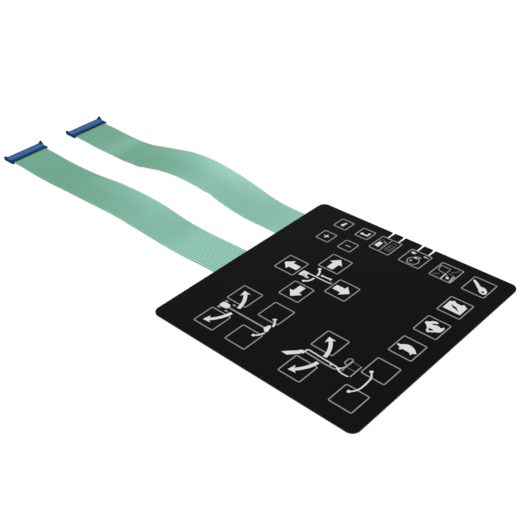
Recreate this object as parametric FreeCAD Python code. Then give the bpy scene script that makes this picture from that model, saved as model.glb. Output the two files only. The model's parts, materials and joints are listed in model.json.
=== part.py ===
import FreeCAD, Part
import math
import os

from FreeCAD import Vector

# Membrane keypad of an aerial-lift control box: a thin laminate of printed and
# adhesive films with snap domes inside, and two flat film tails that end in
# crimp connectors. All sizes are in millimetres.
# +X is the operator's right, +Y is away from the operator, +Z leaves the face.
# The origin is at the middle of the laminate's underside.

# Laminate outline: its size follows from the last keys and these margins
right_margin = 13.025
near_margin = 13.625
corner_radius = 6.35

# Film thicknesses, from the back to the face
liner_thickness = 0.08
rear_adhesive_thickness = 0.10
circuit_film_thickness = 0.125
circuit_spacer_thickness = 0.10
dome_spacer_thickness = 0.40
overlay_adhesive_thickness = 0.05
overlay_thickness = 0.20

# Slits cut through the whole laminate beside two keys of the far row
slit_mouth_width = 2.3
slit_end_width = 1.7
slit_mouth_radius = 0.6
slit_spacing = 10.4
slit_to_key = 0.35

# Keys: one printed square each, over one dome. Columns are measured from the
# laminate's left edge, and rows from its far edge.
large_key = 18.85
small_key = 12.2
key_columns = {
    "display_left": 35.25,
    "display_right": 57.45,
    "engine_1": 79.85,
    "engine_2": 108.25,
    "engine_3": 136.75,
    "last": 165.25,
    "arrows_middle": 65.35,
    "arrows_left": 40.05,
    "arrows_right": 90.5,
    "platform_left": 39.95,
    "platform_right": 71.55,
    "boom": 121.85,
}
key_rows = {
    "display_far": 15.6,
    "display_near": 38.0,
    "engine": 18.7,
    "power": 50.2,
    "fast": 79.0,
    "slow": 107.9,
    "arrows_far": 63.2,
    "arrows_middle": 85.9,
    "arrows_near": 108.7,
    "lower_far": 137.55,
    "lower_near": 171.35,
}
keys = {
    "scroll": ("display_left", "display_far", small_key),
    "enter": ("display_right", "display_far", small_key),
    "plus": ("display_left", "display_near", small_key),
    "minus": ("display_right", "display_near", small_key),
    "fuel": ("engine_1", "engine", large_key),
    "throttle": ("engine_2", "engine", large_key),
    "generator": ("engine_3", "engine", large_key),
    "start": ("last", "engine", large_key),
    "battery": ("last", "power", large_key),
    "fast": ("last", "fast", large_key),
    "slow": ("last", "slow", large_key),
    "forward": ("arrows_middle", "arrows_far", large_key),
    "left": ("arrows_left", "arrows_middle", large_key),
    "right": ("arrows_right", "arrows_middle", large_key),
    "back": ("arrows_middle", "arrows_near", large_key),
    "platform_raise": ("platform_left", "lower_far", large_key),
    "platform_lower": ("platform_left", "lower_near", large_key),
    "rotate_raise": ("platform_right", "lower_far", large_key),
    "rotate_lower": ("platform_right", "lower_near", large_key),
    "boom_raise": ("boom", "lower_far", large_key),
    "boom_lower": ("boom", "lower_near", large_key),
    "extend_out": ("last", "lower_far", large_key),
    "extend_in": ("last", "lower_near", large_key),
}
slit_keys = ("fuel", "throttle")

# Snap domes: four-legged caps of spring steel, by the size of their key.
# A dome's width is taken between its flat sides, and its legs stand at the corners.
large_dome_width = 9.6
small_dome_width = 6.8
large_dome_height = 0.34
small_dome_height = 0.30
dome_metal = 0.07
dome_leg_width = 1.8
dome_shoulder_width = 0.62
dome_shoulder_height = 0.74
dome_crown_width = 0.22
dome_clearance = 0.15
adhesive_window_margin = 1.0
large_contact_hole = 6.0
small_contact_hole = 4.2
contact_hole_corner = 2.4
vent_width = 1.2

# Tails: a film with printed conductors and a cover film, by how far their
# middles lie from the laminate's far edge
tail_width = 37.0
tail_thickness = 0.20
conductor_count = 14
conductor_pitch = 2.54
upper_tail_from_far = 41.6
lower_tail_from_far = 111.7
tail_insertion = 3.0
tail_arc_share = 0.45

# Route of each tail: distance from the laminate's left edge, and height of the
# film's underside above the table. The ends take theirs from what holds them.
upper_tail_exit_run = 12.0
upper_tail_route = (
    (34.0, 0.95),
    (55.0, 4.7),
    (84.0, 10.9),
    (110.0, 13.1),
    (136.0, 11.9),
    (164.0, 6.1),
    (190.0, 1.1),
    (212.0, 0.02),
    (236.0, 0.15),
)
upper_connector_distance = 271.5
lower_tail_exit_run = 14.0
lower_tail_route = (
    (38.0, 0.01),
    (66.0, 0.15),
    (94.0, 2.9),
    (120.0, 4.8),
    (146.0, 4.4),
    (172.0, 2.8),
    (197.0, 0.8),
    (220.0, 0.02),
    (238.0, 0.12),
)
lower_connector_distance = 274.9
tail_entry_run = 14.0

# Connector housing: mouth at the tail's side, sockets at the far side. Its ends
# slope back above and below a waist, and a horn stands at each socket corner.
housing_depth = 11.1
housing_height = 3.4
housing_waist_height = 1.6
housing_waist_length = 42.6
housing_base_length = 38.7
housing_top_length = 39.0
mouth_bevel_run = 1.6
mouth_bevel_height = 1.1
horn_rise = 1.8
horn_overhang = 0.15
horn_tip_width = 2.0
horn_bend_width = 3.0
horn_bend_height = 0.5
horn_foot_width = 4.8
horn_length = 4.0
cavity_size = 1.8
cavity_floor = 0.7
mouth_slot_height = 0.6
mouth_slot_clearance = 0.3
socket_lead_in = 0.25
lock_window_length = 2.0
lock_window_width = 1.2
lock_window_from_socket = 3.2

# Crimped receptacle contacts
contact_metal = 0.2
contact_body_width = 1.6
contact_body_height = 1.7
contact_body_length = 6.0
contact_body_setback = 0.4
crimp_width = 1.3
crimp_length = 2.2

dome_widths = {large_key: large_dome_width, small_key: small_dome_width}
dome_heights = {large_key: large_dome_height, small_key: small_dome_height}
contact_hole_widths = {large_key: large_contact_hole, small_key: small_contact_hole}

panel_width = key_columns["last"] + large_key / 2 + right_margin
panel_height = key_rows["lower_near"] + large_key / 2 + near_margin
panel_left = -panel_width / 2
panel_far = panel_height / 2
upper_tail_y = panel_far - upper_tail_from_far
lower_tail_y = panel_far - lower_tail_from_far

rear_adhesive_base = liner_thickness
lower_circuit_base = rear_adhesive_base + rear_adhesive_thickness
circuit_spacer_base = lower_circuit_base + circuit_film_thickness
upper_circuit_base = circuit_spacer_base + circuit_spacer_thickness
dome_spacer_base = upper_circuit_base + circuit_film_thickness
overlay_adhesive_base = dome_spacer_base + dome_spacer_thickness
overlay_base = overlay_adhesive_base + overlay_adhesive_thickness

cavity_centre = cavity_floor + cavity_size / 2


def key_place(name):
    """Centre and printed size of a key."""
    column, row, size = keys[name]
    return panel_left + key_columns[column], panel_far - key_rows[row], size


def polygon(points):
    """Closed wire through points."""
    return Part.makePolygon(list(points) + [points[0]])


def prism(wire, height):
    """Solid that stands on a flat wire."""
    return Part.Face(wire).extrude(Vector(0, 0, height))


def flat_sided(sections):
    """Solid that joins outlines, each a list of as many points, by flat sides."""
    faces = [Part.Face(polygon(sections[0])), Part.Face(polygon(sections[-1]))]
    for near, far in zip(sections, sections[1:]):
        for index in range(len(near)):
            side = polygon([near[index - 1], near[index], far[index], far[index - 1]])
            faces.append(Part.Face(side))
    return Part.Solid(Part.Shell(faces))


def box(length, width, height, centre_x, centre_y, base):
    """Box by its middle in plan and its underside."""
    corner = Vector(centre_x - length / 2, centre_y - width / 2, base)
    return Part.makeBox(length, width, height, corner)


def rounded_block(width, depth, radius, centre_x, centre_y, base, height):
    """Box whose upright edges are rounded."""
    block = box(width, depth, height, centre_x, centre_y, base)
    upright = []
    for edge in block.Edges:
        start, end = edge.Vertexes[0].Point, edge.Vertexes[1].Point
        if abs(start.x - end.x) < 1e-6 and abs(start.y - end.y) < 1e-6:
            upright.append(edge)
    return block.makeFillet(radius, upright)


def cut_square(width, corner, height=0):
    """Points of a square about the origin with its corners cut off."""
    side = width / 2
    cut = side - corner / math.sqrt(2)
    corners = (
        (side, cut), (cut, side), (-cut, side), (-side, cut),
        (-side, -cut), (-cut, -side), (cut, -side), (side, -cut),
    )
    return [Vector(x, y, height) for x, y in corners]


def slit_cutter(centre_x, end_y):
    """Tapering slit with flared, rounded corners at the laminate's edge."""
    mouth = slit_mouth_width / 2
    end = slit_end_width / 2
    flare = slit_mouth_radius
    bend = flare * (1 - math.sqrt(0.5))
    left = centre_x - mouth
    right = centre_x + mouth
    inner = panel_far - flare
    edges = [
        Part.LineSegment(Vector(centre_x - end, end_y, 0), Vector(left, inner, 0)),
        Part.Arc(
            Vector(left, inner, 0),
            Vector(left - bend, panel_far - bend, 0),
            Vector(left - flare, panel_far, 0),
        ),
        Part.LineSegment(Vector(left - flare, panel_far, 0), Vector(right + flare, panel_far, 0)),
        Part.Arc(
            Vector(right + flare, panel_far, 0),
            Vector(right + bend, panel_far - bend, 0),
            Vector(right, inner, 0),
        ),
        Part.LineSegment(Vector(right, inner, 0), Vector(centre_x + end, end_y, 0)),
        Part.LineSegment(Vector(centre_x + end, end_y, 0), Vector(centre_x - end, end_y, 0)),
    ]
    return Part.Wire([edge.toShape() for edge in edges])


def slit_wires():
    """Outlines of the slits beside the keys that have them."""
    wires = []
    for name in slit_keys:
        x, y, size = key_place(name)
        end_y = y + size / 2 + slit_to_key
        wires.append(slit_cutter(x - slit_spacing / 2, end_y))
        wires.append(slit_cutter(x + slit_spacing / 2, end_y))
    return wires


def film(base, thickness):
    """One full layer of the laminate."""
    sheet = rounded_block(panel_width, panel_height, corner_radius, 0, 0, base, thickness)
    cutters = []
    for wire in slit_wires():
        cutter = prism(wire, thickness)
        cutter.translate(Vector(0, 0, base))
        cutters.append(cutter)
    return sheet.cut(cutters)


def openings_at_keys(widths, corner, margin, base, thickness):
    """Eight-sided cutters, one at every key."""
    cutters = []
    for name in keys:
        x, y, size = key_place(name)
        outline = polygon(cut_square(widths[size] + 2 * margin, corner))
        cutter = prism(outline, thickness)
        cutter.translate(Vector(x, y, base))
        cutters.append(cutter)
    return cutters


def overlay_adhesive():
    """Adhesive film with a window over every dome, so that no dome sticks."""
    windows = openings_at_keys(
        dome_widths, dome_leg_width, adhesive_window_margin,
        overlay_adhesive_base, overlay_adhesive_thickness,
    )
    return film(overlay_adhesive_base, overlay_adhesive_thickness).cut(windows)


def dome_spacer():
    """Film with the pockets that hold the domes in place."""
    pockets = openings_at_keys(
        dome_widths, dome_leg_width, dome_clearance, dome_spacer_base, dome_spacer_thickness
    )
    return film(dome_spacer_base, dome_spacer_thickness).cut(pockets)


def vent_channel(first, second):
    """Air channel between the contact holes of two keys."""
    x1, y1, _ = key_place(first)
    x2, y2, _ = key_place(second)
    length = math.hypot(x2 - x1, y2 - y1)
    channel = Part.makeBox(length, vent_width, circuit_spacer_thickness, Vector(0, -vent_width / 2, 0))
    channel.rotate(Vector(0, 0, 0), Vector(0, 0, 1), math.degrees(math.atan2(y2 - y1, x2 - x1)))
    channel.translate(Vector(x1, y1, circuit_spacer_base))
    return channel


def circuit_spacer():
    """Film that keeps the two circuits apart, open at every contact."""
    openings = openings_at_keys(
        contact_hole_widths, contact_hole_corner, 0, circuit_spacer_base, circuit_spacer_thickness
    )
    vent_chains = (
        ("scroll", "enter", "minus", "plus"),
        ("fuel", "throttle", "generator", "start", "battery", "fast", "slow", "extend_out", "extend_in"),
        ("left", "forward", "right", "back"),
        ("platform_raise", "platform_lower", "rotate_lower", "rotate_raise"),
        ("boom_raise", "boom_lower"),
    )
    for chain in vent_chains:
        for first, second in zip(chain, chain[1:]):
            openings.append(vent_channel(first, second))
    return film(circuit_spacer_base, circuit_spacer_thickness).cut(openings)


def snap_dome(width, height):
    """Pressed cap whose four legs stand at its corners."""
    rings = ((1, 0), (dome_shoulder_width, dome_shoulder_height), (dome_crown_width, 1))
    cap = flat_sided([
        cut_square(width * across, dome_leg_width * across, height * up) for across, up in rings
    ])
    hollow = cap.copy()
    hollow.translate(Vector(0, 0, -dome_metal))
    return cap.cut(hollow)


def tail_points(exit_height, exit_run, route, connector_distance):
    """Corners of a tail's centre line in its own upright plane."""
    half = tail_thickness / 2
    points = [(panel_left, exit_height), (panel_left - exit_run, exit_height)]
    for distance, lift in route:
        points.append((panel_left - distance, lift + half))
    mouth = panel_left - connector_distance
    points.append((mouth + tail_entry_run, cavity_centre))
    points.append((mouth - tail_insertion, cavity_centre))
    return [Vector(x, 0, z) for x, z in points]


def tail_bends(points):
    """Arc of each corner: its start, middle and end, and its radius."""
    bends = []
    for before, corner, after in zip(points, points[1:], points[2:]):
        back = (before - corner)
        ahead = (after - corner)
        run = min(back.Length, ahead.Length)
        back.normalize()
        ahead.normalize()
        half_turn = (math.pi - back.getAngle(ahead)) / 2
        radius = tail_arc_share * run / math.tan(half_turn)
        bisector = back + ahead
        bisector.normalize()
        centre = corner + bisector * (radius / math.cos(half_turn))
        bends.append((
            corner + back * (tail_arc_share * run),
            centre - bisector * radius,
            corner + ahead * (tail_arc_share * run),
            centre,
            radius,
        ))
    return bends


def tail_side(points, bends, offset):
    """Edges of the line that runs at one side of the centre line."""
    def shifted(point, direction):
        normal = Vector(-direction.z, 0, direction.x)
        normal.normalize()
        return point + normal * offset

    edges = []
    start = shifted(points[0], points[1] - points[0])
    for index, (enter, middle, leave, centre, _) in enumerate(bends):
        along = points[index + 1] - points[index]
        ahead = points[index + 2] - points[index + 1]
        arc_start = shifted(enter, along)
        arc_end = shifted(leave, ahead)
        arc_middle = shifted(middle, leave - enter)
        edges.append(Part.makeLine(start, arc_start))
        edges.append(Part.Arc(arc_start, arc_middle, arc_end).toShape())
        start = arc_end
    end = shifted(points[-1], points[-1] - points[-2])
    edges.append(Part.makeLine(start, end))
    return edges, shifted(points[0], points[1] - points[0]), end


def tail_length(points, bends):
    """Length of the centre line."""
    total = 0
    start = points[0]
    for enter, _, leave, _, radius in bends:
        total += (enter - start).Length
        total += 2 * radius * math.asin((leave - enter).Length / (2 * radius))
        start = leave
    return total + (points[-1] - start).Length


def film_tail(name, points, centre_y):
    """Flat tail: the section of its route, drawn out across its width."""
    bends = tail_bends(points)
    upper, upper_start, upper_end = tail_side(points, bends, tail_thickness / 2)
    lower, lower_start, lower_end = tail_side(points, bends, -tail_thickness / 2)
    ends = [Part.makeLine(upper_start, lower_start), Part.makeLine(upper_end, lower_end)]
    outline = Part.Wire(Part.__sortEdges__(upper + lower + ends))
    tail = Part.Face(outline).extrude(Vector(0, tail_width, 0))
    tail.translate(Vector(0, centre_y - tail_width / 2, 0))
    length = tail_length(points, bends)
    radii = ", ".join("%.0f" % bend[4] for bend in bends)
    print("%s: length %.2f, radii %s" % (name, length, radii))
    print("%s: volume over section times length %.5f"
          % (name, tail.Volume / (length * tail_width * tail_thickness)))
    return tail


def pyramid(outline, apex):
    """Solid that joins a flat outline to a point."""
    faces = [Part.Face(polygon(outline))]
    for index in range(len(outline)):
        faces.append(Part.Face(polygon([outline[index - 1], outline[index], apex])))
    return Part.Solid(Part.Shell(faces))


def housing_body():
    """Bar whose ends slope to a waist, with a bevel along the top of its mouth."""
    half_base = housing_base_length / 2
    half_waist = housing_waist_length / 2
    half_top = housing_top_length / 2
    end_view = polygon([
        Vector(0, half_base, 0),
        Vector(0, half_waist, housing_waist_height),
        Vector(0, half_top, housing_height),
        Vector(0, -half_top, housing_height),
        Vector(0, -half_waist, housing_waist_height),
        Vector(0, -half_base, 0),
    ])
    side_view = polygon([
        Vector(0, -half_waist, 0),
        Vector(0, -half_waist, housing_height - mouth_bevel_height),
        Vector(-mouth_bevel_run, -half_waist, housing_height),
        Vector(-housing_depth, -half_waist, housing_height),
        Vector(-housing_depth, -half_waist, 0),
    ])
    bar = Part.Face(end_view).extrude(Vector(-housing_depth, 0, 0))
    return bar.common(Part.Face(side_view).extrude(Vector(0, housing_waist_length, 0)))


def horn(side):
    """Pointed horn at one corner of the socket face, which fades along the end."""
    tip = housing_waist_length / 2 + horn_overhang
    tip_height = housing_height + horn_rise
    half_waist = housing_waist_length / 2
    outline = (
        (half_waist, housing_waist_height),
        (tip, tip_height),
        (tip - horn_tip_width, tip_height),
        (tip - horn_bend_width, housing_height + horn_bend_height),
        (tip - horn_foot_width, housing_height),
    )
    face = [Vector(-housing_depth, side * y, z) for y, z in outline]
    apex = Vector(-housing_depth + horn_length, side * half_waist, housing_waist_height)
    return pyramid(face, apex)


def cavity_positions():
    """Place of each conductor across the tail."""
    first = -(conductor_count - 1) * conductor_pitch / 2
    return [first + index * conductor_pitch for index in range(conductor_count)]


def cavity_section(x, side, centre_y):
    """Corners of a square across a cavity."""
    half = side / 2
    corners = ((-half, -half), (half, -half), (half, half), (-half, half))
    return [Vector(x, centre_y + y, cavity_centre + z) for y, z in corners]


def connector_housing():
    """Moulded housing with its mouth at x = 0 and its sockets at the far end."""
    body = housing_body().fuse([horn(1), horn(-1)]).removeSplitter()
    cutters = [
        box(
            2 * tail_insertion, tail_width + 2 * mouth_slot_clearance, mouth_slot_height,
            0, 0, cavity_centre - mouth_slot_height / 2,
        )
    ]
    window_x = -housing_depth + lock_window_from_socket + lock_window_length / 2
    for y in cavity_positions():
        cutters.append(box(3 * housing_depth, cavity_size, cavity_size, 0, y, cavity_floor))
        cutters.append(flat_sided([
            cavity_section(-housing_depth, cavity_size + 2 * socket_lead_in, y),
            cavity_section(-housing_depth + socket_lead_in, cavity_size, y),
        ]))
        cutters.append(box(lock_window_length, lock_window_width, cavity_floor, window_x, y, 0))
    return body.cut(cutters)


def crimped_contact():
    """Receptacle contact whose rear end is folded over the tail's end."""
    half_film = tail_thickness / 2
    plate_low = cavity_centre - half_film - contact_metal
    plate_high = cavity_centre + half_film + contact_metal
    film_low = cavity_centre - half_film
    film_high = cavity_centre + half_film
    mouth = -(tail_insertion - crimp_length)
    film_end = -tail_insertion
    web_end = film_end - contact_metal
    body_end = -(housing_depth - contact_body_setback)
    body_start = body_end + contact_body_length
    crimp = polygon([
        Vector(mouth, -crimp_width / 2, plate_low),
        Vector(mouth, -crimp_width / 2, film_low),
        Vector(film_end, -crimp_width / 2, film_low),
        Vector(film_end, -crimp_width / 2, film_high),
        Vector(mouth, -crimp_width / 2, film_high),
        Vector(mouth, -crimp_width / 2, plate_high),
        Vector(web_end, -crimp_width / 2, plate_high),
        Vector(web_end, -crimp_width / 2, film_low),
        Vector(body_start, -crimp_width / 2, film_low),
        Vector(body_start, -crimp_width / 2, plate_low),
    ])
    clamp = Part.Face(crimp).extrude(Vector(0, crimp_width, 0))
    body = box(
        contact_body_length, contact_body_width, contact_body_height,
        (body_start + body_end) / 2, 0, cavity_floor,
    )
    socket = box(
        2 * (contact_body_length - contact_metal),
        contact_body_width - 2 * contact_metal,
        contact_body_height - 2 * contact_metal,
        body_end, 0, cavity_floor + contact_metal,
    )
    return body.cut(socket).fuse(clamp)


def connector_contacts():
    """One crimped contact for each conductor."""
    contact = crimped_contact()
    placed = []
    for y in cavity_positions():
        copy = contact.copy()
        copy.translate(Vector(0, y, 0))
        placed.append(copy)
    return Part.makeCompound(placed)


def at_connector(shape, distance, centre_y):
    """Moves a connector's piece to the end of its tail."""
    moved = shape.copy()
    moved.translate(Vector(panel_left - distance, centre_y, 0))
    return moved


def build():
    """All sub-parts by their node's name."""
    parts = {
        "release_liner": film(0, liner_thickness),
        "rear_adhesive": film(rear_adhesive_base, rear_adhesive_thickness),
        "lower_circuit": film(lower_circuit_base, circuit_film_thickness),
        "circuit_spacer": circuit_spacer(),
        "upper_circuit": film(upper_circuit_base, circuit_film_thickness),
        "dome_spacer": dome_spacer(),
        "overlay_adhesive": overlay_adhesive(),
        "graphic_overlay": film(overlay_base, overlay_thickness),
    }
    for name in keys:
        x, y, size = key_place(name)
        dome = snap_dome(dome_widths[size], dome_heights[size])
        dome.translate(Vector(x, y, dome_spacer_base))
        parts["dome_" + name] = dome

    half_film = circuit_film_thickness / 2
    upper_points = tail_points(
        upper_circuit_base + half_film, upper_tail_exit_run, upper_tail_route, upper_connector_distance
    )
    lower_points = tail_points(
        lower_circuit_base + half_film, lower_tail_exit_run, lower_tail_route, lower_connector_distance
    )
    parts["upper_tail"] = film_tail("upper_tail", upper_points, upper_tail_y)
    parts["lower_tail"] = film_tail("lower_tail", lower_points, lower_tail_y)

    housing = connector_housing()
    contacts = connector_contacts()
    places = {
        "upper": (upper_connector_distance, upper_tail_y),
        "lower": (lower_connector_distance, lower_tail_y),
    }
    for name, (distance, y) in places.items():
        parts[name + "_connector_housing"] = at_connector(housing, distance, y)
        parts[name + "_connector_contacts"] = at_connector(contacts, distance, y)
    return parts


os.makedirs("parts", exist_ok=True)
for node, shape in build().items():
    shape.exportStep("parts/%s.step" % node)
    print("%s: %d solids, valid %s, volume %.2f" % (node, len(shape.Solids), shape.isValid(), shape.Volume))
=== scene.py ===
import json
import math

import bmesh
import bpy
from mathutils import Matrix, Vector
from mathutils.geometry import tessellate_polygon


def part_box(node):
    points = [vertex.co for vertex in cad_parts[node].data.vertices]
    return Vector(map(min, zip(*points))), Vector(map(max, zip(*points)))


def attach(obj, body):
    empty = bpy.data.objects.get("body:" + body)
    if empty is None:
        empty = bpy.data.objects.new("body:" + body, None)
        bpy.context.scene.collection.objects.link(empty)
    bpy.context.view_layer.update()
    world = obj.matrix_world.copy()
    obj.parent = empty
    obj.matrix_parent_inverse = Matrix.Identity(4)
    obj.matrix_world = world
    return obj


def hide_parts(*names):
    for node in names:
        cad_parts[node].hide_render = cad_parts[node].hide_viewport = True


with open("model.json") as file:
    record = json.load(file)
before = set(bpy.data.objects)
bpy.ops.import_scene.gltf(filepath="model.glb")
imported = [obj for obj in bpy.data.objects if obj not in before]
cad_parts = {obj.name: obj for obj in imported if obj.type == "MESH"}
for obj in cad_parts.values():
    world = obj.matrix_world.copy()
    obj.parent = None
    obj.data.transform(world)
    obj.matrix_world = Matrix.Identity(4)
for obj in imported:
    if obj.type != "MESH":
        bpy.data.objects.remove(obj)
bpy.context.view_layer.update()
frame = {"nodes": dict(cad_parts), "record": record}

MM = 0.001

# Camera
camera_place = Vector((0.32513, -0.39695, 0.40121))
camera_forward = Vector((-0.58084, 0.57381, -0.57738))
camera_up = Vector((-0.3689, 0.44673, 0.81507))
camera_lens = 61.24
camera_sensor = 36.0
camera_nearest = 0.01
camera_farthest = 20.0

# Tails, in metres: each point of a route gives the distance from the laminate's left
# edge, the height of the film's middle and its stray to the far side, below 0 to the near one
tail_width = 0.037
tail_thickness = 0.0002
conductor_count = 14
conductor_pitch = 0.00254
ridged_width = conductor_count * conductor_pitch
ridge_height = 0.0001
points_per_ridge = 8
spline_steps = 10
sharp_edge_angle = 50
upper_tail_y = 0.0556
upper_route = (
    (0.0, 0.0004675, 0.0),
    (0.012, 0.0004675, 0.0),
    (0.034, 0.00105, 0.0),
    (0.055, 0.0048, 0.0),
    (0.084, 0.011, 0.0),
    (0.110, 0.0132, 0.0),
    (0.136, 0.012, 0.0),
    (0.164, 0.0062, 0.0),
    (0.190, 0.0012, 0.0),
    (0.212, 0.00012, 0.0),
    (0.236, 0.00025, 0.0),
    (0.2575, 0.0016, 0.0),
    (0.2745, 0.0016, 0.0),
)
upper_tail_length = 0.2766
lower_tail_y = -0.0145
lower_route = (
    (0.0, 0.0002425, 0.0),
    (0.014, 0.0002425, -0.0003),
    (0.038, 0.00011, -0.0009),
    (0.066, 0.00025, -0.0006),
    (0.094, 0.003, -0.0002),
    (0.120, 0.0049, -0.0004),
    (0.146, 0.0045, -0.0005),
    (0.172, 0.0029, -0.0003),
    (0.197, 0.0009, 0.0),
    (0.220, 0.00012, 0.0),
    (0.238, 0.00022, 0.0),
    (0.2609, 0.0016, 0.0),
    (0.2779, 0.0016, 0.0),
)
lower_tail_length = 0.2782
# Each tail leans towards its near edge over its hump: distances where the lean
# starts, is full, starts to fade and is gone, and how much higher the far edge is
upper_lean = (0.015, 0.065, 0.172, 0.214, 0.0042)
lower_lean = (0.060, 0.105, 0.150, 0.200, 0.0030)
# Creases at the upper tail's near edge: distance, half the length and rise of each
upper_creases = ((0.077, 0.005, 0.0012), (0.174, 0.005, -0.0006), (0.187, 0.005, 0.0005))

# Film of the tails: its plain colour, the paler colour of its painted highlights and its finish.
# Shares of the painted highlight colour go by distance along a tail, as parts of its length: for
# the painted sheen over the whole width, for that on the far side alone and for the painted light and
# dark lines over the ribs between the conductors
film_plain = (0.152, 0.390, 0.268)
film_highlight = (0.330, 0.645, 0.535)
film_roughness = 0.42
film_specular = 0.12
upper_sheen = (
    (0.0, 0.66), (0.07, 0.48), (0.18, 0.50), (0.34, 0.64), (0.42, 0.40), (0.50, 0.14),
    (0.60, 0.0), (0.74, 0.0), (0.80, 0.34), (0.87, 0.10), (1.0, 0.0),
)
upper_side_sheen = (
    (0.0, 0.0), (0.10, 0.15), (0.30, 0.55), (0.45, 0.50), (0.55, 0.36), (0.70, 0.10), (0.80, 0.0),
)
upper_rib_shading = ((0.0, 0.4), (0.08, 0.1), (1.0, 0.0))
upper_side_rib_shading = (
    (0.0, 0.0), (0.14, 0.5), (0.20, 3.5), (0.27, 4.5), (0.31, 1.6), (0.36, 0.6), (0.46, 0.2),
    (1.0, 0.0),
)
lower_sheen = (
    (0.0, 0.72), (0.16, 0.74), (0.24, 0.44), (0.36, 0.46), (0.52, 0.20), (0.62, 0.08),
    (0.70, 0.02), (0.80, 0.0), (0.90, 0.06), (1.0, 0.04),
)
lower_side_sheen = ((0.0, 0.0), (0.24, 0.0), (0.40, 0.36), (0.52, 0.34), (0.62, 0.22), (0.72, 0.0))
lower_rib_shading = (
    (0.0, 3.6), (0.08, 3.4), (0.14, 2.8), (0.17, 1.8), (0.20, 0.6), (0.25, 0.2), (0.55, 0.05),
    (1.0, 0.0),
)
lower_side_rib_shading = (
    (0.0, 0.0), (0.14, 0.0), (0.19, 3.0), (0.25, 1.0), (0.30, 0.3), (0.55, 0.1), (1.0, 0.0),
)
# Strength of the painted light and dark lines over the ribs
rib_shading_strength = 0.16
# How far across a tail its far side starts, for the painted sheen and for the painted lines over the
# ribs
sheen_side = 0.45
upper_rib_shading_side = 0.62
lower_rib_shading_side = 0.45
# Painted highlights along both edges of the film: how far across each reaches and its share of the pale
# colour
rim_width = 0.03
rim_sheen = 0.25
# Painted shadow of the connector: the film darkens just before it enters it
mouth_shade = ((0.983, 1.0), (0.989, 0.35))

# Connector moulding: its face colour, the painted shade of its sides, how far up a face
# looks where each of them holds, its finish and its cloudiness
moulding_blue = (0.014, 0.118, 0.395)
moulding_painted_shade = (0.002, 0.014, 0.065)
side_looks_up = 0.55
face_looks_up = 0.95
moulding_roughness = 0.4
moulding_specular = 0.08
moulding_cloud = ((0.3, 0.88), (0.7, 1.1))
moulding_cloud_scale = 260.0
# Painted light and shade along the moulding, from the plug's side (0) to the film's (1)
moulding_shading = (
    (0.0, 0.4), (0.12, 0.6), (0.3, 1.05), (0.5, 1.1), (0.65, 0.85), (0.85, 0.5), (1.0, 0.3),
)

# Plain materials: colour, roughness, specular, how much the colour varies and at what
# scale, and the scale and height of the grain
plain_looks = {
    "overlay_film": ((0.0004, 0.0004, 0.0008), 0.4, 0.030, 0.25, 60.0, 4500.0, 0.006 * MM),
    "printed_ink": ((0.755, 0.770, 0.775), 0.55, 0.2, 0.03, 400.0, 4500.0, 0.004 * MM),
    "faded_ink": ((0.10, 0.095, 0.095), 0.55, 0.2, 0.1, 400.0, 4500.0, 0.004 * MM),
    "frame_ink": ((0.31, 0.315, 0.315), 0.55, 0.2, 0.05, 400.0, 4500.0, 0.004 * MM),
    "clear_adhesive": ((0.05, 0.05, 0.05), 0.3, 0.3, 0.1, 500.0, 3000.0, 0.002 * MM),
    "spacer_film": ((0.015, 0.015, 0.016), 0.45, 0.2, 0.1, 500.0, 3000.0, 0.002 * MM),
    "circuit_film": ((0.06, 0.14, 0.11), 0.45, 0.3, 0.1, 500.0, 3000.0, 0.002 * MM),
    "liner_paper": ((0.70, 0.68, 0.62), 0.7, 0.2, 0.04, 300.0, 2500.0, 0.01 * MM),
}
# Metals: colour and roughness, and the cloudiness that both have
metal_looks = {
    "dome_steel": ((0.6, 0.6, 0.61), 0.3),
    "contact_metal": ((0.62, 0.6, 0.55), 0.28),
}
metal_specular = 0.5
metal_spread = 0.08
metal_cloud_scale = 900.0
# Where a cloudy colour is at its darkest and at its lightest
cloud_dark = 0.3
cloud_light = 0.7

# Print: an ink's level is how many plain thicknesses it is thick, and each shape of a
# piece is a step of that thicker than the last. The key outlines' sizes are in millimetres
ink_thickness = 0.02 * MM
ink_step = 0.02
frame_level = 1.0
faded_level = 1.3
line_level = 1.55
symbol_level = 1.8
stroke = 0.8
large_key = 18.85
small_key = 12.2
frame_corner = 1.0
small_keys = ("scroll", "enter", "plus", "minus")
all_keys = (
    "scroll", "enter", "plus", "minus", "fuel", "throttle", "generator", "start", "battery",
    "fast", "slow", "forward", "left", "right", "back", "platform_raise", "platform_lower",
    "rotate_raise", "rotate_lower", "boom_raise", "boom_lower", "extend_out", "extend_in",
)

# Light: each lamp's place, width and power, and the strength of the surround
high_lamp = (Vector((-0.4, 0.25, 1.55)), 0.9, 15.5)
near_lamp = (Vector((0.25, 0.05, 0.65)), 0.45, 0.5)
lamp_aim = Vector((0.0, 0.02, 0.0))
ambient_strength = 0.3
# Floor: how far it reaches, how far it lies below the keypad, the share of its look
# that is a plain glow, how bright that is and the grey of the rest
floor_reach = 3.0
floor_gap = 0.1 * MM
floor_share = 0.8
floor_glow = 1.22
floor_colour = 0.4


def make_camera():
    """Camera at the photograph's place, with its slight roll."""
    data = bpy.data.cameras.new("camera")
    data.lens = camera_lens
    data.sensor_width = camera_sensor
    data.clip_start = camera_nearest
    data.clip_end = camera_farthest
    camera = bpy.data.objects.new("camera", data)
    right = camera_forward.cross(camera_up).normalized()
    up = right.cross(camera_forward).normalized()
    back = -camera_forward.normalized()
    turn = Matrix((right, up, back)).transposed()
    camera.matrix_world = Matrix.Translation(camera_place) @ turn.to_4x4()
    bpy.context.collection.objects.link(camera)
    bpy.context.scene.camera = camera


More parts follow.
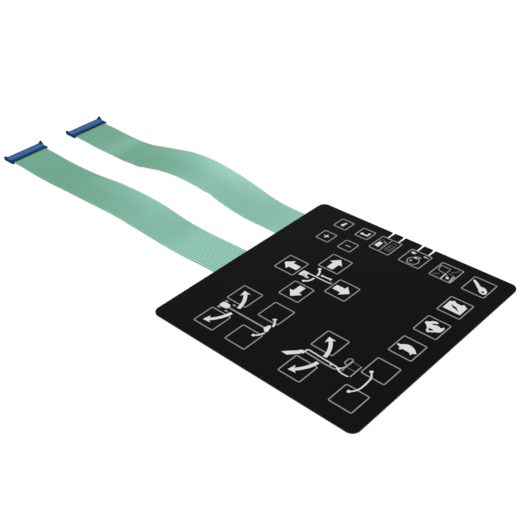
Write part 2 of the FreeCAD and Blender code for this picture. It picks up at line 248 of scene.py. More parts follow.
def new_material(name, roughness, specular):
    """Principled material with its shader and node tree."""
    material = bpy.data.materials.new(name)
    material.use_nodes = True
    tree = material.node_tree
    shader = tree.nodes["Principled BSDF"]
    shader.inputs["Roughness"].default_value = roughness
    shader.inputs["Specular IOR Level"].default_value = specular
    return material, tree, shader


def link(tree, source, socket, target, entry):
    """Joins one node's output to another's input."""
    tree.links.new(source.outputs[socket], target.inputs[entry])


def noise(tree, scale, detail=3.0):
    """Noise in the object's own metres."""
    place = tree.nodes.new("ShaderNodeTexCoord")
    texture = tree.nodes.new("ShaderNodeTexNoise")
    texture.inputs["Scale"].default_value = scale
    texture.inputs["Detail"].default_value = detail
    link(tree, place, "Object", texture, "Vector")
    return texture


def ramp(tree, source, socket, stops):
    """Colour ramp over a value: stops are (place, colour)."""
    node = tree.nodes.new("ShaderNodeValToRGB")
    elements = node.color_ramp.elements
    while len(elements) < len(stops):
        elements.new(0.5)
    for element, (place, colour) in zip(elements, stops):
        element.position = place
        element.color = (*colour, 1.0)
    link(tree, source, socket, node, "Fac")
    return node


def grey(stops):
    """Ramp stops of plain numbers as stops of grey."""
    return [(place, (value, value, value)) for place, value in stops]


def combined(tree, operation, first, second):
    """Sum, product or other combination of two outputs or numbers."""
    node = tree.nodes.new("ShaderNodeMath")
    node.operation = operation
    for entry, value in enumerate((first, second)):
        if isinstance(value, float):
            node.inputs[entry].default_value = value
        else:
            tree.links.new(value, node.inputs[entry])
    return node.outputs["Value"]


def product(tree, first, first_socket, second, second_socket):
    """Product of two colours."""
    mix = tree.nodes.new("ShaderNodeVectorMath")
    mix.operation = "MULTIPLY"
    link(tree, first, first_socket, mix, 0)
    link(tree, second, second_socket, mix, 1)
    return mix


def shades(colour, spread):
    """A darker and a lighter shade of a colour."""
    dark = tuple(part * (1 - spread) for part in colour)
    light = tuple(min(1.0, part * (1 + spread)) for part in colour)
    return dark, light


def mottle(tree, shader, colour, spread, scale):
    """Slight cloudy variation of a colour."""
    dark, light = shades(colour, spread)
    cloud = noise(tree, scale)
    tone = ramp(tree, cloud, "Fac", ((cloud_dark, dark), (cloud_light, light)))
    link(tree, tone, "Color", shader, "Base Color")


def grain(tree, shader, scale, height):
    """Fine bump over the whole surface."""
    texture = noise(tree, scale, detail=2.0)
    bump = tree.nodes.new("ShaderNodeBump")
    bump.inputs["Distance"].default_value = height
    bump.inputs["Strength"].default_value = 1.0
    link(tree, texture, "Fac", bump, "Height")
    link(tree, bump, "Normal", shader, "Normal")


def plain_material(name, colour, roughness, specular, spread, scale, grain_scale, grain_height):
    """Mottled material with a fine grain."""
    material, tree, shader = new_material(name, roughness, specular)
    mottle(tree, shader, colour, spread, scale)
    grain(tree, shader, grain_scale, grain_height)
    return material


def metal_material(name, colour, roughness):
    """Plain bright metal with slight clouding."""
    material, tree, shader = new_material(name, roughness, metal_specular)
    shader.inputs["Metallic"].default_value = 1.0
    mottle(tree, shader, colour, metal_spread, metal_cloud_scale)
    return material


def moulding_material():
    """Satin blue moulding with painted shade on its upright and undercut faces and painted light and
    shade along it.
    """
    material, tree, shader = new_material("connector_moulding", moulding_roughness, moulding_specular)
    place = tree.nodes.new("ShaderNodeTexCoord")
    facing = tree.nodes.new("ShaderNodeSeparateXYZ")
    link(tree, place, "Normal", facing, "Vector")
    # Painted shade on the upright and undercut faces
    depth = ramp(tree, facing, "Z", (
        (0.0, moulding_painted_shade), (side_looks_up, moulding_painted_shade), (face_looks_up, moulding_blue),
    ))
    along = tree.nodes.new("ShaderNodeSeparateXYZ")
    link(tree, place, "Generated", along, "Vector")
    # Painted light and shade along the moulding
    shading = ramp(tree, along, "X", grey(moulding_shading))
    cloud = noise(tree, moulding_cloud_scale)
    tone = ramp(tree, cloud, "Fac", grey(moulding_cloud))
    shaded = product(tree, depth, "Color", shading, "Color")
    mix = product(tree, shaded, "Vector", tone, "Color")
    link(tree, mix, "Vector", shader, "Base Color")
    return material


def share_along(tree, parts, whole, side, side_start):
    """Share by distance along a tail, for its whole width and more for its far side."""
    all_over = ramp(tree, parts, "X", grey(whole)).outputs["Color"]
    beside = ramp(tree, parts, "X", grey(side)).outputs["Color"]
    far_side = ramp(tree, parts, "Y", grey(((side_start, 0.0), (1.0, 1.0)))).outputs["Color"]
    return combined(tree, "ADD", all_over, combined(tree, "MULTIPLY", beside, far_side))


def tail_material(name, sheen, side_sheen, lines, side_rib_shading, rib_shading_side):
    """Mint green film with a painted pale sheen, fine painted light and dark lines where it is ribbed,
    painted highlights along its edges and a painted shadow at its connector.
    """
    material, tree, shader = new_material(name, film_roughness, film_specular)
    place = tree.nodes.new("ShaderNodeUVMap")
    place.uv_map = "film"
    parts = tree.nodes.new("ShaderNodeSeparateXYZ")
    link(tree, place, "UV", parts, "Vector")

    # Painted sheen: the share of the pale highlight colour along the film
    pale = share_along(tree, parts, sheen, side_sheen, sheen_side)
    # Painted light and dark lines over the ribs, in step with the conductors
    ribbed = share_along(tree, parts, lines, side_rib_shading, rib_shading_side)
    turn = combined(tree, "MULTIPLY", parts.outputs["Y"], conductor_count * 2 * math.pi)
    wave = combined(tree, "COSINE", turn, 0.0)
    line = combined(tree, "MULTIPLY", ribbed, combined(tree, "MULTIPLY", wave, -rib_shading_strength))
    pale = combined(tree, "ADD", pale, line)

    # Painted highlights along both edges of the film
    rims = ramp(tree, parts, "Y", grey((
        (0.0, rim_sheen), (rim_width, 0.0), (1.0 - rim_width, 0.0), (1.0, rim_sheen),
    ))).outputs["Color"]
    pale = combined(tree, "ADD", pale, rims)

    mix = tree.nodes.new("ShaderNodeMix")
    mix.data_type = "RGBA"
    mix.clamp_factor = False
    mix.inputs["A"].default_value = (*film_plain, 1.0)
    mix.inputs["B"].default_value = (*film_highlight, 1.0)
    tree.links.new(pale, mix.inputs["Factor"])
    # Painted shadow where the film enters its connector
    mouth = ramp(tree, parts, "X", grey(mouth_shade))
    film = product(tree, mix, "Result", mouth, "Color")
    link(tree, film, "Vector", shader, "Base Color")
    return material


def make_materials():
    """All materials: those of the record's slots, two dimmer inks and the upper tail's film."""
    made = {name: plain_material(name, *looks) for name, looks in plain_looks.items()}
    for name, looks in metal_looks.items():
        made[name] = metal_material(name, *looks)
    made["connector_moulding"] = moulding_material()
    made["tail_film"] = tail_material(
        "tail_film", lower_sheen, lower_side_sheen, lower_rib_shading, lower_side_rib_shading, lower_rib_shading_side
    )
    made["upper_tail_film"] = tail_material(
        "upper_tail_film", upper_sheen, upper_side_sheen, upper_rib_shading, upper_side_rib_shading, upper_rib_shading_side
    )
    return made


def dress_frame(materials):
    """Gives each CAD node the material of its slot."""
    for row in frame["record"]["subparts"]:
        node = frame["nodes"][row["node"]]
        for entry in node.material_slots:
            entry.material = materials[row["material_slot"]]


def smooth_step(value, start, end):
    """Rises from 0 to 1 between start and end."""
    share = min(1.0, max(0.0, (value - start) / (end - start)))
    return share * share * (3 - 2 * share)


def route_line(name, route, left_edge, centre_y):
    """Points along the smooth line of a tail's route."""
    data = bpy.data.curves.new(name, "CURVE")
    data.dimensions = "3D"
    data.resolution_u = spline_steps
    spline = data.splines.new("NURBS")
    spline.points.add(len(route) - 1)
    for point, (distance, height, aside) in zip(spline.points, route):
        point.co = (left_edge - distance, centre_y + aside, height, 1.0)
    spline.order_u = 3
    spline.use_endpoint_u = True
    curve = bpy.data.objects.new(name, data)
    mesh = bpy.data.meshes.new_from_object(curve)
    line = [vertex.co.copy() for vertex in mesh.vertices]
    bpy.data.meshes.remove(mesh)
    bpy.data.objects.remove(curve)
    bpy.data.curves.remove(data)
    return line


def tail_section():
    """Outline across a tail: places across it, and heights over its underside."""
    half = tail_width / 2
    count = conductor_count * points_per_ridge
    section = [(-half, tail_thickness)]
    for index in range(count + 1):
        across = -ridged_width / 2 + ridged_width * index / count
        wave = 0.5 - 0.5 * math.cos(2 * math.pi * index / points_per_ridge)
        section.append((across, tail_thickness + ridge_height * wave))
    return section + [(half, tail_thickness), (half, 0.0), (-half, 0.0)]


def lean_angle(lean, distance):
    """Turn of the film about its middle line at a distance."""
    start, full, fading, gone, rise = lean
    share = smooth_step(distance, start, full) * (1 - smooth_step(distance, fading, gone))
    return math.atan(rise * share / tail_width)


def crease_height(creases, distance, offset):
    """How far creases lift the film at a place: most at its near edge, none beyond its middle."""
    share = max(0.0, -2 * offset / tail_width) ** 2
    rise = 0.0
    for place, reach, height in creases:
        rise += height * math.exp(-((distance - place) / reach) ** 2)
    return rise * share


def film_ring(section, line, index, distance, lean, creases):
    """Outline across the film at one point of its line: points with their places across."""
    centre = line[index]
    before = line[max(0, index - 1)]
    after = line[min(len(line) - 1, index + 1)]
    along = (after - before).normalized()
    angle = lean_angle(lean, distance)
    sideways = Vector((0.0, 1.0, 0.0))
    normal = Vector((along.z, 0.0, -along.x)).normalized()
    across = sideways * math.cos(angle) + normal * math.sin(angle)
    up = normal * math.cos(angle) - sideways * math.sin(angle)
    ring = []
    for offset, height in section:
        point = centre + across * offset + up * (height - tail_thickness / 2)
        point.z += crease_height(creases, distance, offset)
        point.z = max(point.z, height)
        ring.append((point, offset))
    return ring


def film_tail(name, line, lean, creases, left_edge, material):
    """Ridged film strip along a line, leaning over its hump and creased at its near edge."""
    shape = bmesh.new()
    layer = shape.loops.layers.uv.new("film")
    section = tail_section()
    total = left_edge - line[-1].x
    rings = []
    for index, centre in enumerate(line):
        distance = left_edge - centre.x
        ring = []
        for point, offset in film_ring(section, line, index, distance, lean, creases):
            place = (distance / total, offset / ridged_width + 0.5)
            ring.append((shape.verts.new(point), place))
        rings.append(ring)
    for near, far in zip(rings, rings[1:]):
        for index in range(len(near)):
            corners = (near[index - 1], near[index], far[index], far[index - 1])
            face = shape.faces.new([vertex for vertex, _ in corners])
            for loop, (_, place) in zip(face.loops, corners):
                loop[layer].uv = place
    for ring in (rings[0], rings[-1]):
        shape.faces.new([vertex for vertex, _ in ring])
    bmesh.ops.recalc_face_normals(shape, faces=shape.faces)
    tail = piece_from(shape, name, material)
    for face in tail.data.polygons:
        face.use_smooth = True
    tail.data.set_sharp_from_angle(angle=math.radians(sharp_edge_angle))
    return tail


def piece_from(shape, name, material):
    """Turns a bmesh into a piece of the scene."""
    data = bpy.data.meshes.new(name)
    shape.to_mesh(data)
    shape.free()
    data.materials.append(material)
    piece = bpy.data.objects.new(name, data)
    bpy.context.collection.objects.link(piece)
    return piece


def make_tails(materials):
    """Both tails as ridged film strips, each in place of its hidden CAD part."""
    left_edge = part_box("release_liner")[0][0]
    tails = (
        (
            "upper", "upper_tail_film", upper_route, upper_tail_y, upper_lean, upper_creases,
            upper_tail_length,
        ),
        ("lower", "tail_film", lower_route, lower_tail_y, lower_lean, (), lower_tail_length),
    )
    for side, film, route, centre_y, lean, creases, length in tails:
        line = route_line(side + "_route", route, left_edge, centre_y)
        name = side + "_film_tail"
        tail = film_tail(name, line, lean, creases, left_edge, materials[film])
        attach(tail, "root")
        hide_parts(side + "_tail")


# Flat shapes of the print: a loop is a list of (x, y) in millimetres, and a shape
# is a list of loops, its outline first and then its holes


def flipped(loop):
    """Loop mirrored from far to near."""
    return [(px, -py) for px, py in loop]


def oval(x, y, width, depth, turn=0.0, count=28):
    """Ellipse by its middle, its two widths and its turn in degrees."""
    points = []
    cosine = math.cos(math.radians(turn))
    sine = math.sin(math.radians(turn))
    for index in range(count):
        angle = 2 * math.pi * index / count
        px = width / 2 * math.cos(angle)
        py = depth / 2 * math.sin(angle)
        points.append((x + px * cosine - py * sine, y + px * sine + py * cosine))
    return points


def blunt_head(x, y, width, depth, turn=40):
    """Blunt end of an arrow."""
    return [oval(x, y, width, depth, turn, count=20)]


def rounded_box(x, y, width, depth, radius, count=5):
    """Rectangle with rounded corners by its middle."""
    points = []
    for corner, (sx, sy) in enumerate(((1, 1), (-1, 1), (-1, -1), (1, -1))):
        cx = x + sx * (width / 2 - radius)
        cy = y + sy * (depth / 2 - radius)
        for index in range(count + 1):
            angle = math.pi / 2 * (corner + index / count)
            points.append((cx + radius * math.cos(angle), cy + radius * math.sin(angle)))
    return points


def arc(x, y, radius, start, end, count=20):
    """Points along an arc; its angles are in degrees."""
    points = []
    for index in range(count + 1):
        angle = math.radians(start + (end - start) * index / count)
        points.append((x + radius * math.cos(angle), y + radius * math.sin(angle)))
    return points


def band(points, start_width, end_width=None):
    """Stroke along points, which may taper."""
    end_width = start_width if end_width is None else end_width
    left = []
    right = []
    last = len(points) - 1
    for index, (x, y) in enumerate(points):
        bx, by = points[max(0, index - 1)]
        ax, ay = points[min(last, index + 1)]
        length = math.hypot(ax - bx, ay - by)
        nx = -(ay - by) / length
        ny = (ax - bx) / length
        half = (start_width + (end_width - start_width) * index / last) / 2
        left.append((x + nx * half, y + ny * half))
        right.append((x - nx * half, y - ny * half))
    return left + right[::-1]


def head(tip, heading, length, width, notch=0.0):
    """Arrowhead by its tip and the way that it points, in degrees."""
    cosine = math.cos(math.radians(heading))
    sine = math.sin(math.radians(heading))
    corners = ((0, 0), (-length, width / 2), (notch - length, 0), (-length, -width / 2))
    return [(tip[0] + x * cosine - y * sine, tip[1] + x * sine + y * cosine) for x, y in corners]


def run_between(p0, p1, p2, p3, steps):
    """Smooth run from the second of four points to the third."""
    run = []
    for step in range(steps):
        t = step / steps
        point = 0.5 * (
            2 * p1 + (p2 - p0) * t + (2 * p0 - 5 * p1 + 4 * p2 - p3) * t * t
            + (3 * p1 - p0 - 3 * p2 + p3) * t * t * t
        )
        run.append((point.x, point.y))
    return run


def softened(points, steps=5):
    """Smooth closed loop through a few points."""
    count = len(points)
    loop = []
    for index in range(count):
        four = [Vector(points[(index + shift - 1) % count]) for shift in range(4)]
        loop += run_between(*four, steps)
    return loop


def curved(points, steps=5):
    """Smooth open line through a few points."""
    line = [Vector(point) for point in points]
    line = [line[0] * 2 - line[1], *line, line[-1] * 2 - line[-2]]
    run = []
    for index in range(len(points) - 1):
        run += run_between(*line[index:index + 4], steps)
    return run + [points[-1]]


def add_shape(mesh, loops, x, y, base, thickness):
    """Adds a flat shape to a mesh, with its side walls."""
    flat = [[Vector((px * MM + x, py * MM + y, base)) for px, py in loop] for loop in loops]
    points = [point for loop in flat for point in loop]
    lift = Vector((0, 0, thickness))
    low = [mesh.verts.new(point) for point in points]
    high = [mesh.verts.new(point + lift) for point in points]
    for a, b, c in tessellate_polygon(flat):
        mesh.faces.new((high[a], high[b], high[c]))
        mesh.faces.new((low[c], low[b], low[a]))
    first = 0
    for loop in flat:
        count = len(loop)
        for index in range(count):
            a = first + index
            b = first + (index + 1) % count
            mesh.faces.new((low[a], low[b], high[b], high[a]))
        first += count


def printed(name, shapes, place, material, level):
    """Piece of ink on the overlay: shapes about a place, each a hair thicker than the last."""
    mesh = bmesh.new()
    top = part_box("graphic_overlay")[1][2]
    for index, loops in enumerate(shapes):
        thickness = ink_thickness * (level + ink_step * index)
        add_shape(mesh, loops, place[0], place[1], top, thickness)
    bmesh.ops.recalc_face_normals(mesh, faces=mesh.faces)
    piece = piece_from(mesh, name, material)
    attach(piece, "root")


def key_centre(name):
    """Middle of a key, over its dome."""
    low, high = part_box("dome_" + name)
    return ((low[0] + high[0]) / 2, (low[1] + high[1]) / 2)


def key_frame(size):
    """Outline of a key, about the middle of its line."""
    return [[
        rounded_box(0, 0, size + stroke, size + stroke, frame_corner + stroke / 2),
        rounded_box(0, 0, size - stroke, size - stroke, frame_corner - stroke / 2),
    ]]


def block_arrow(turn):
    """Bold arrow; a turn of 0 points away from the operator."""
    outline = (
        (0, 6.9), (-5.9, 0.7), (-2.75, 0.35), (-2.75, -7.2), (2.75, -7.2), (2.75, 0.35), (5.9, 0.7)
    )
    cosine = math.cos(math.radians(turn))
    sine = math.sin(math.radians(turn))
    return [[[(x * cosine - y * sine, x * sine + y * cosine) for x, y in outline]]]


def scroll_symbol():
    """Small blunt arrow towards the operator."""
    shaft = band(curved([(-0.1, -1.0), (0.2, 0.9), (1.1, 2.6)]), 1.9, 1.5)
    return [[shaft], blunt_head(-0.1, -1.5, 3.1, 2.7, turn=0)]


def enter_symbol():
    """Return arrow."""
    bent = [(2.1, 2.9), (3.5, 2.9), (3.5, -2.1), (-1.4, -2.1), (-1.4, -0.7), (2.1, -0.7)]
    return [[bent], blunt_head(-2.3, -1.3, 2.8, 2.7, turn=0)]


def plus_symbol():
    """Plus sign."""
    return [
        [[(-2.4, 0.45), (-2.4, -0.45), (2.4, -0.45), (2.4, 0.45)]],
        [[(-0.45, 2.4), (-0.45, -2.4), (0.45, -2.4), (0.45, 2.4)]],
    ]


def minus_symbol():
    """Minus sign."""
    return [[[(-2.4, 0.55), (-2.4, -0.55), (2.4, -0.55), (2.4, 0.55)]]]


def fuel_symbol():
    """Fuel pump."""
    return [[[(-7.5, -4.6), (-3.4, -5.1), (-3.7, 1.6), (-7.1, 1.8)]]]


def fuel_lines():
    """Divider beside the pump, and the pump's hose."""
    divider = band([(0.1, 8.6), (0.1, -8.9)], 0.6)
    return [[divider], [oval(-2.5, 3.3, 1.9, 1.5, -30, 16)]]


def fuel_shade():
    """Arched top of the pump, its hose and the stacked bars beside it."""
    arch = band([(-7.0, 1.9), (-7.0, 4.2), (-6.3, 5.4), (-4.7, 5.4), (-4.0, 4.2), (-4.0, 1.9)], 0.7)
    hose = band([(-1.2, 3.4), (-0.9, -5.1)], 0.7)
    shapes = [[arch], [hose], [band(arc(4.9, 4.0, 2.2, 20, 160, 10), 0.7)]]
    for height in (2.2, -0.4, -2.9, -4.9):
        shapes.append([band([(2.6, height - 0.2), (4.9, height + 0.25), (7.2, height - 0.2)], 0.8)])
    for x in (2.5, 7.3):
        shapes.append([band([(x, 3.6), (x, -4.9)], 0.5)])
    return shapes


def throttle_symbol():
    """Bright lid of the engine, and a mark at each upper corner."""
    lid = [oval(-0.2, 1.0, 2.9, 1.5, 0)]
    left_mark = [[(-7.8, 6.7), (-6.4, 6.9), (-3.0, 6.6), (-4.9, 4.5), (-6.4, 4.7)]]
    right_mark = [[(3.3, 6.7), (4.9, 7.2), (7.6, 6.6), (7.6, 5.9), (5.6, 6.4), (4.3, 5.6)]]
    return [lid, left_mark, right_mark]


def throttle_lines():
    """Round engine with its filler cap and the drop inside."""
    ring = [oval(0.3, -3.3, 10.2, 10.2), oval(0.3, -3.3, 8.6, 8.6)]
    drop = [oval(-1.4, -3.9, 2.2, 2.4, 20)]
    cap = [oval(0.8, 2.6, 5.4, 2.4, 10), oval(0.6, 2.7, 3.4, 1.0, 10)]
    return [ring, drop, cap]


def generator_symbol():
    """White line and leaf of the quartered square."""
    middle = [band([(0.4, -1.3), (0.8, -9.1)], 0.8)]
    return [middle, [oval(4.3, -5.3, 2.9, 2.3, -40)]]


def generator_lines():
    """Greyer lines of the quartered square."""
    side = [band([(7.3, -0.5), (8.5, -9.4)], 1.9)]
    top = [band([(-8.6, 5.7), (-2.0, 5.5), (-0.3, 6.2), (0.4, 4.0), (0.5, -0.1)], 0.6)]
    bowl = [band([(-8.2, 5.7), (-7.7, 1.8), (-6.7, -0.5), (-3.7, -1.5), (-0.4, -1.4)], 0.65)]
    return [side, top, bowl]


def generator_shade():
    """Dim rays of the quartered square, and the leaf's stalk."""
    far_ray = [band([(3.2, 2.0), (7.2, 7.6)], 0.9)]
    near_ray = [band([(-7.3, -7.2), (-3.4, -4.1)], 0.9)]
    line = [band([(2.2, -0.4), (6.6, 0.0)], 0.6)]
    stalk = [band([(0.9, -1.5), (2.5, -3.3), (4.0, -4.9)], 1.1)]
    return [far_ray, near_ray, line, stalk]


def start_symbol():
    """Ignition key."""
    shaft = band([(-7.2, 5.0), (-4.6, 3.4), (-1.4, 0.9), (1.2, -1.0)], 1.9, 3.2)
    bow = [oval(4.3, -2.3, 9.1, 5.9, -42), oval(5.2, -3.5, 2.2, 2.2, -42)]
    return [[shaft], [oval(-7.0, 4.9, 2.0, 2.0)], bow]


def battery_symbol():
    """Battery with two poles and a dark bolt."""
    case = [
        (-7.2, -5.1), (7.2, -5.2), (7.1, 4.6), (5.6, 4.9), (4.6, 5.9), (3.3, 6.4), (2.7, 5.6),
        (2.2, 4.7), (-2.0, 4.8), (-3.0, 5.4), (-4.4, 6.3), (-5.4, 5.7), (-5.6, 4.6), (-6.8, 4.8),
        (-7.3, 4.1),
    ]
    bolt = [
        (-4.6, 1.9), (-3.2, 1.5), (-1.4, 1.0), (0.6, 0.7), (2.2, -0.9), (4.8, -2.9), (3.1, -2.5),
        (1.0, -1.5), (-0.7, -1.3), (-2.8, 0.0),
    ]
    return [[case, bolt]]


def hare_symbol():
    """Running hare for the fast setting."""
    outline = softened([
        (-6.9, 1.2), (-7.1, 2.5), (-6.2, 3.7), (-5.1, 3.9), (-3.8, 5.9), (-1.4, 7.0), (1.1, 6.4),
        (0.1, 4.9), (-1.5, 4.2), (-1.9, 3.1), (-0.7, 2.6), (1.2, 3.6), (3.2, 3.7), (5.4, 2.9),
        (6.2, 4.7), (7.4, 4.2), (7.7, 1.3), (7.3, -0.9), (5.7, -2.4), (4.0, -3.1), (3.4, -4.2),
        (1.8, -4.9), (0.7, -6.2), (-1.7, -5.2), (-2.2, -3.1), (-4.2, -0.7), (-5.3, 0.3),
    ], 4)
    gap = [(-1.4, -2.9), (-0.9, -1.6), (1.9, -1.6), (2.7, -2.5), (0.8, -3.9), (-0.7, -3.9)]
    return [[outline, gap]]


def tortoise_symbol():
    """Tortoise for the slow setting."""
    outline = softened([
        (-8.1, -0.9), (-7.8, 0.1), (-6.1, 0.4), (-4.5, 1.7), (-2.1, 3.2), (0.9, 3.4), (4.2, 2.1),
        (6.2, 0.5), (7.6, -0.7), (7.3, -1.7), (6.1, -2.1), (5.6, -2.9), (5.4, -4.2), (4.5, -4.3),
        (3.7, -3.1), (-1.1, -2.8), (-2.5, -2.9), (-3.0, -3.9), (-4.1, -4.4), (-4.7, -3.4),
        (-4.8, -2.2), (-6.6, -1.6),
    ], 4)
    return [[outline]]


# Curved arrow that runs from the gap of a key pair into its far key: the middle and
# radius of its curve, the angles at its ends, its widths there and its head
swing_centre = -19.8
swing_radius = 26.35
swing_span = (7.7, 49.0)
swing_widths = (2.9, 2.7)
swing_tip = (-4.7, 21.6)
swing_heading = 138


def swing_arrow():
    """Curved arrow of a far key, about the middle of its pair."""
    body = band(arc(swing_centre, 0, swing_radius, *swing_span), *swing_widths)
    return [[body], [head(swing_tip, swing_heading, length=5.2, width=7.7, notch=1.0)]]


def mirrored(shapes):
    """Shapes with their mirror images from far to near."""
    return shapes + [[flipped(loop) for loop in shape] for shape in shapes]


def platform_picture():
    """Machine from above: its chassis and platform."""
    chassis = [
        (-7.4, -2.7), (-7.9, -0.1), (-7.6, 2.3), (-6.8, 2.6), (-3.2, 2.8), (-1.0, 2.5), (0.5, 0.9),
        (0.4, -0.7), (-0.4, -2.2), (-2.3, -2.6), (-5.8, -2.9),
    ]
    platform = [
        (35.2, -0.2), (36.0, 1.0), (36.4, 3.3), (37.5, 4.3), (38.7, 3.9), (39.3, 2.2), (40.6, -2.1),
        (40.2, -3.4), (38.5, -3.3), (37.0, -2.0),
    ]
    return [[chassis], [platform]]


def platform_lines():
    """Wheels and boom of the machine from above."""
    wheels = [[oval(x, y, 3.0, 1.6, 0, 20)] for x in (-6.2, 1.6) for y in (-4.3, 4.1)]
    boom = [band([(0.0, -0.3), (36.0, -0.3)], 1.2)]
    return [*wheels, boom]


def platform_turn():
    """Thin arcs about the platform, with blunt heads."""
    far_line = curved([(36.2, 10.2), (37.7, 8.7), (38.8, 6.9), (39.9, 4.2)])
    near_line = curved([(35.8, -11.2), (36.8, -10.3), (38.0, -8.9), (38.9, -7.2), (40.1, -4.5)])
    far_head = blunt_head(35.5, 11.0, 3.4, 1.9)
    near_head = blunt_head(35.5, -11.2, 2.7, 2.5)
    return [[band(far_line, 1.2, 1.7)], [band(near_line, 1.4)], far_head, near_head]


def boom_picture():
    """Machine's boom from the side, with the fork that carries the basket."""
    strut = [[
        (-20.0, -11.2), (-17.3, -8.3), (-11.9, -3.1), (-11.0, -1.5), (-9.6, -0.6), (-8.2, -0.8),
        (-7.6, 0.0), (-7.1, -1.4), (-7.2, -3.3), (-8.7, -3.6), (-8.7, -4.9), (-11.8, -7.9),
        (-14.9, -11.3),
    ]]
    end = [band(curved([(-6.9, -1.1), (-7.7, 0.1), (-7.6, 1.3), (-6.5, 2.1)]), 1.2, 1.0)]
    upper_line = curved([(-6.5, 2.1), (-1.6, 2.0), (7.4, 1.5), (12.8, 1.4), (17.8, 1.1), (20.2, 0.6)])
    link_pin = [oval(14.2, 0.3, 1.8, 1.3, 0, 12)]
    knot = [oval(20.6, 0.3, 2.6, 1.9, 0, 16)]
    fork = [band(curved([(20.2, 0.7), (21.0, 1.3), (22.1, 2.4), (23.0, 4.1), (23.3, 6.4)]), 1.1, 0.7)]
    floor = [band(curved([(20.6, 0.0), (22.5, -1.2), (26.1, -1.7), (30.4, -1.5)]), 1.1, 0.9)]
    return [strut, end, [band(upper_line, 1.0)], link_pin, knot, fork, floor]


def boom_lines():
    """Greyer lines of the boom and its basket."""
    lower_line = curved([
        (-6.7, -1.1), (1.4, -1.3), (10.1, -1.8), (14.4, -1.7), (18.8, -1.4), (20.5, 0.0),
    ])
    post = [band([(31.4, 11.6), (31.5, -0.9)], 0.9)]
    brace = [band([(22.4, -0.4), (23.7, 0.6), (23.6, 3.5)], 0.8)]
    arm = [band([(23.3, 6.0), (23.4, 12.3)], 1.2)]
    loop = [
        rounded_box(21.8, 10.3, 4.6, 7.2, 2.0, 8),
        rounded_box(21.8, 10.3, 3.2, 5.8, 1.4, 8),
    ]
    return [[band(lower_line, 1.1)], post, brace, arm, loop]


def basket_shade():
    """Faint rails of the basket."""
    top = [band([(24.2, 12.0), (31.2, 11.5)], 0.6)]
    middle = [band([(24.4, 5.2), (31.0, 5.3)], 0.6)]
    return [top, middle]


def extend_arc():
    """Long thin arc that joins the last column's lower keys, with blunt heads."""
    line = curved([
        (-4.3, 11.9), (-3.2, 10.8), (-1.7, 9.0), (-0.6, 6.8), (-0.2, 3.8), (0.1, -1.2), (-0.1, -5.3),
        (-1.0, -8.0), (-2.3, -10.2), (-4.0, -11.9),
    ], 4)
    far_head = blunt_head(-4.3, 12.1, 2.9, 2.3)
    near_head = blunt_head(-4.1, -11.9, 2.7, 2.6)
    return [[band(line, 1.2)], far_head, near_head]


def lift_picture():
    """Small machine from the side, with the ways that it turns and reaches."""
    boom = [band(curved([(-9.5, 0.3), (-1.6, 0.4), (6.6, 0.5), (11.2, 0.6), (14.0, 0.9)]), 0.95, 0.8)]
    machine = [
        [
            (-12.7, -5.7), (-13.5, -3.5), (-13.4, -1.7), (-13.2, 0.3), (-12.7, 1.2), (-11.4, 0.9),
            (-8.7, 1.2), (-7.2, -1.6), (-7.7, -2.1), (-6.9, -3.2), (-5.7, -3.6), (-4.3, -3.5),
            (-4.0, -5.0), (-6.2, -5.1), (-8.0, -4.8), (-10.7, -4.8), (-11.6, -5.6),
        ],
        oval(-9.8, -2.9, 1.8, 1.2, 0, 12),
    ]
    far_turn = [band(curved([(-4.6, 9.5), (-3.6, 8.3), (-2.3, 6.6), (-1.3, 4.6), (-0.8, 1.9)]), 1.5)]
    near_turn = [
        band(curved([(-0.7, -1.8), (-0.9, -4.5), (-1.6, -6.5), (-2.6, -8.0), (-4.2, -9.2)]), 1.5)
    ]
    turn_heads = [blunt_head(-4.9, 9.8, 2.9, 2.3), blunt_head(-4.5, -9.3, 2.8, 2.4)]
    reach = [band([(2.3, 4.3), (9.9, 4.8)], 1.2)]
    reach_heads = [blunt_head(x, y, 2.1, 2.2, turn=0) for x, y in ((2.3, 4.3), (9.9, 4.8))]
    return [boom, machine, far_turn, near_turn, *turn_heads, reach, *reach_heads]


def lift_shade():
    """Small fork at the end of the lift's boom."""
    return [[band([(11.2, 1.2), (12.7, 2.9), (14.0, 1.6)], 0.9)]]


def middle_of(first, second):
    """Point half-way between two keys."""
    a = key_centre(first)
    b = key_centre(second)
    return ((a[0] + b[0]) / 2, (a[1] + b[1]) / 2)


def print_keys(prefix, drawings, ink, level):
    """Prints a drawing on each of several keys."""
    for name, shapes in drawings.items():
        printed(prefix + name, shapes, key_centre(name), ink, level)


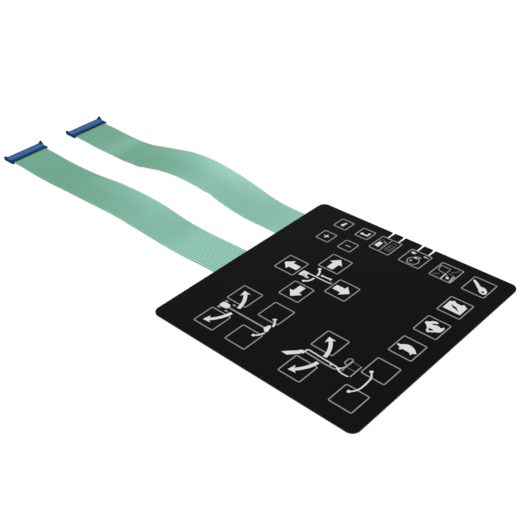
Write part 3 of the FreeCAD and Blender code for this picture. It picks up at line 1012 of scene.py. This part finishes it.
def make_print(materials):
    """Key outlines, symbols and the pictures between the keys."""
    outlines = {}
    for name in all_keys:
        outlines[name] = key_frame(small_key if name in small_keys else large_key)
    symbols = {
        "scroll": scroll_symbol(),
        "enter": enter_symbol(),
        "plus": plus_symbol(),
        "fuel": fuel_symbol(),
        "throttle": throttle_symbol(),
        "generator": generator_symbol(),
        "start": start_symbol(),
        "battery": battery_symbol(),
        "fast": hare_symbol(),
        "slow": tortoise_symbol(),
        "forward": block_arrow(0),
        "left": block_arrow(90),
        "back": block_arrow(180),
        "right": block_arrow(-90),
    }
    lines = {
        "minus": minus_symbol(),
        "fuel": fuel_lines(),
        "throttle": throttle_lines(),
        "generator": generator_lines(),
    }
    shade = {"fuel": fuel_shade(), "generator": generator_shade()}
    bright = (materials["printed_ink"], symbol_level)
    greyer = (materials["frame_ink"], line_level)
    faint = (materials["faded_ink"], faded_level)
    print_keys("outline_", outlines, materials["frame_ink"], frame_level)
    print_keys("symbol_", symbols, *bright)
    print_keys("lines_", lines, *greyer)
    print_keys("shade_", shade, *faint)

    platform_pair = middle_of("platform_raise", "platform_lower")
    boom_pair = middle_of("boom_raise", "boom_lower")
    extend_pair = middle_of("extend_out", "extend_in")
    lift_place = middle_of("left", "right")
    printed("arrows_platform", mirrored(swing_arrow()), platform_pair, *bright)
    printed("arrows_boom", mirrored(swing_arrow()), boom_pair, *bright)
    printed("picture_platform", platform_picture(), platform_pair, *bright)
    printed("lines_platform", platform_lines(), platform_pair, *greyer)
    printed("arrows_rotate", platform_turn(), platform_pair, *bright)
    printed("picture_boom", boom_picture(), boom_pair, *bright)
    printed("lines_boom", boom_lines(), boom_pair, *greyer)
    printed("shade_basket", basket_shade(), boom_pair, *faint)
    printed("arrow_extend", extend_arc(), extend_pair, *bright)
    printed("picture_lift", lift_picture(), lift_place, *bright)
    printed("shade_lift", lift_shade(), lift_place, *faint)


def add_lamp(name, place, size, power):
    """Round soft lamp aimed at the object."""
    data = bpy.data.lights.new(name, "AREA")
    data.shape = "DISK"
    data.size = size
    data.energy = power
    lamp = bpy.data.objects.new(name, data)
    lamp.location = place
    lamp.rotation_mode = "QUATERNION"
    lamp.rotation_quaternion = (lamp_aim - place).to_track_quat("-Z", "Y")
    bpy.context.collection.objects.link(lamp)


def seen_rays(tree):
    """1 for rays from the camera, and for those that gloss and glass send on."""
    rays = tree.nodes.new("ShaderNodeLightPath").outputs
    some = combined(tree, "ADD", rays["Is Camera Ray"], rays["Is Glossy Ray"])
    seen = combined(tree, "ADD", some, rays["Is Transmission Ray"])
    seen.node.use_clamp = True
    return seen


def make_lights():
    """Two soft lamps and an even white surround."""
    add_lamp("high_lamp", *high_lamp)
    add_lamp("near_lamp", *near_lamp)
    world = bpy.data.worlds.new("surround")
    world.use_nodes = True
    tree = world.node_tree
    background = tree.nodes["Background"]
    background.inputs["Color"].default_value = (1.0, 1.0, 1.0, 1.0)
    strength = tree.nodes.new("ShaderNodeMapRange")
    strength.inputs["To Min"].default_value = ambient_strength
    strength.inputs["To Max"].default_value = 1.0
    tree.links.new(seen_rays(tree), strength.inputs["Value"])
    link(tree, strength, "Result", background, "Strength")
    bpy.context.scene.world = world


def make_floor():
    """Pale floor that keeps a light shadow."""
    shape = bmesh.new()
    bmesh.ops.create_grid(shape, x_segments=1, y_segments=1, size=floor_reach)
    material, tree, shader = new_material("floor", roughness=1.0, specular=0.0)
    shader.inputs["Base Color"].default_value = (floor_colour, floor_colour, floor_colour, 1.0)
    glow = tree.nodes.new("ShaderNodeEmission")
    glow.inputs["Strength"].default_value = floor_glow
    share = combined(tree, "MULTIPLY", seen_rays(tree), floor_share)
    mix = tree.nodes.new("ShaderNodeMixShader")
    tree.links.new(share, mix.inputs[0])
    link(tree, shader, "BSDF", mix, 1)
    link(tree, glow, "Emission", mix, 2)
    link(tree, mix, "Shader", tree.nodes["Material Output"], "Surface")
    floor = piece_from(shape, "floor", material)
    floor.location.z = -floor_gap


make_camera()
materials = make_materials()
make_tails(materials)
dress_frame(materials)
make_print(materials)
make_lights()
make_floor()
bpy.context.scene.view_settings.view_transform = "Standard"
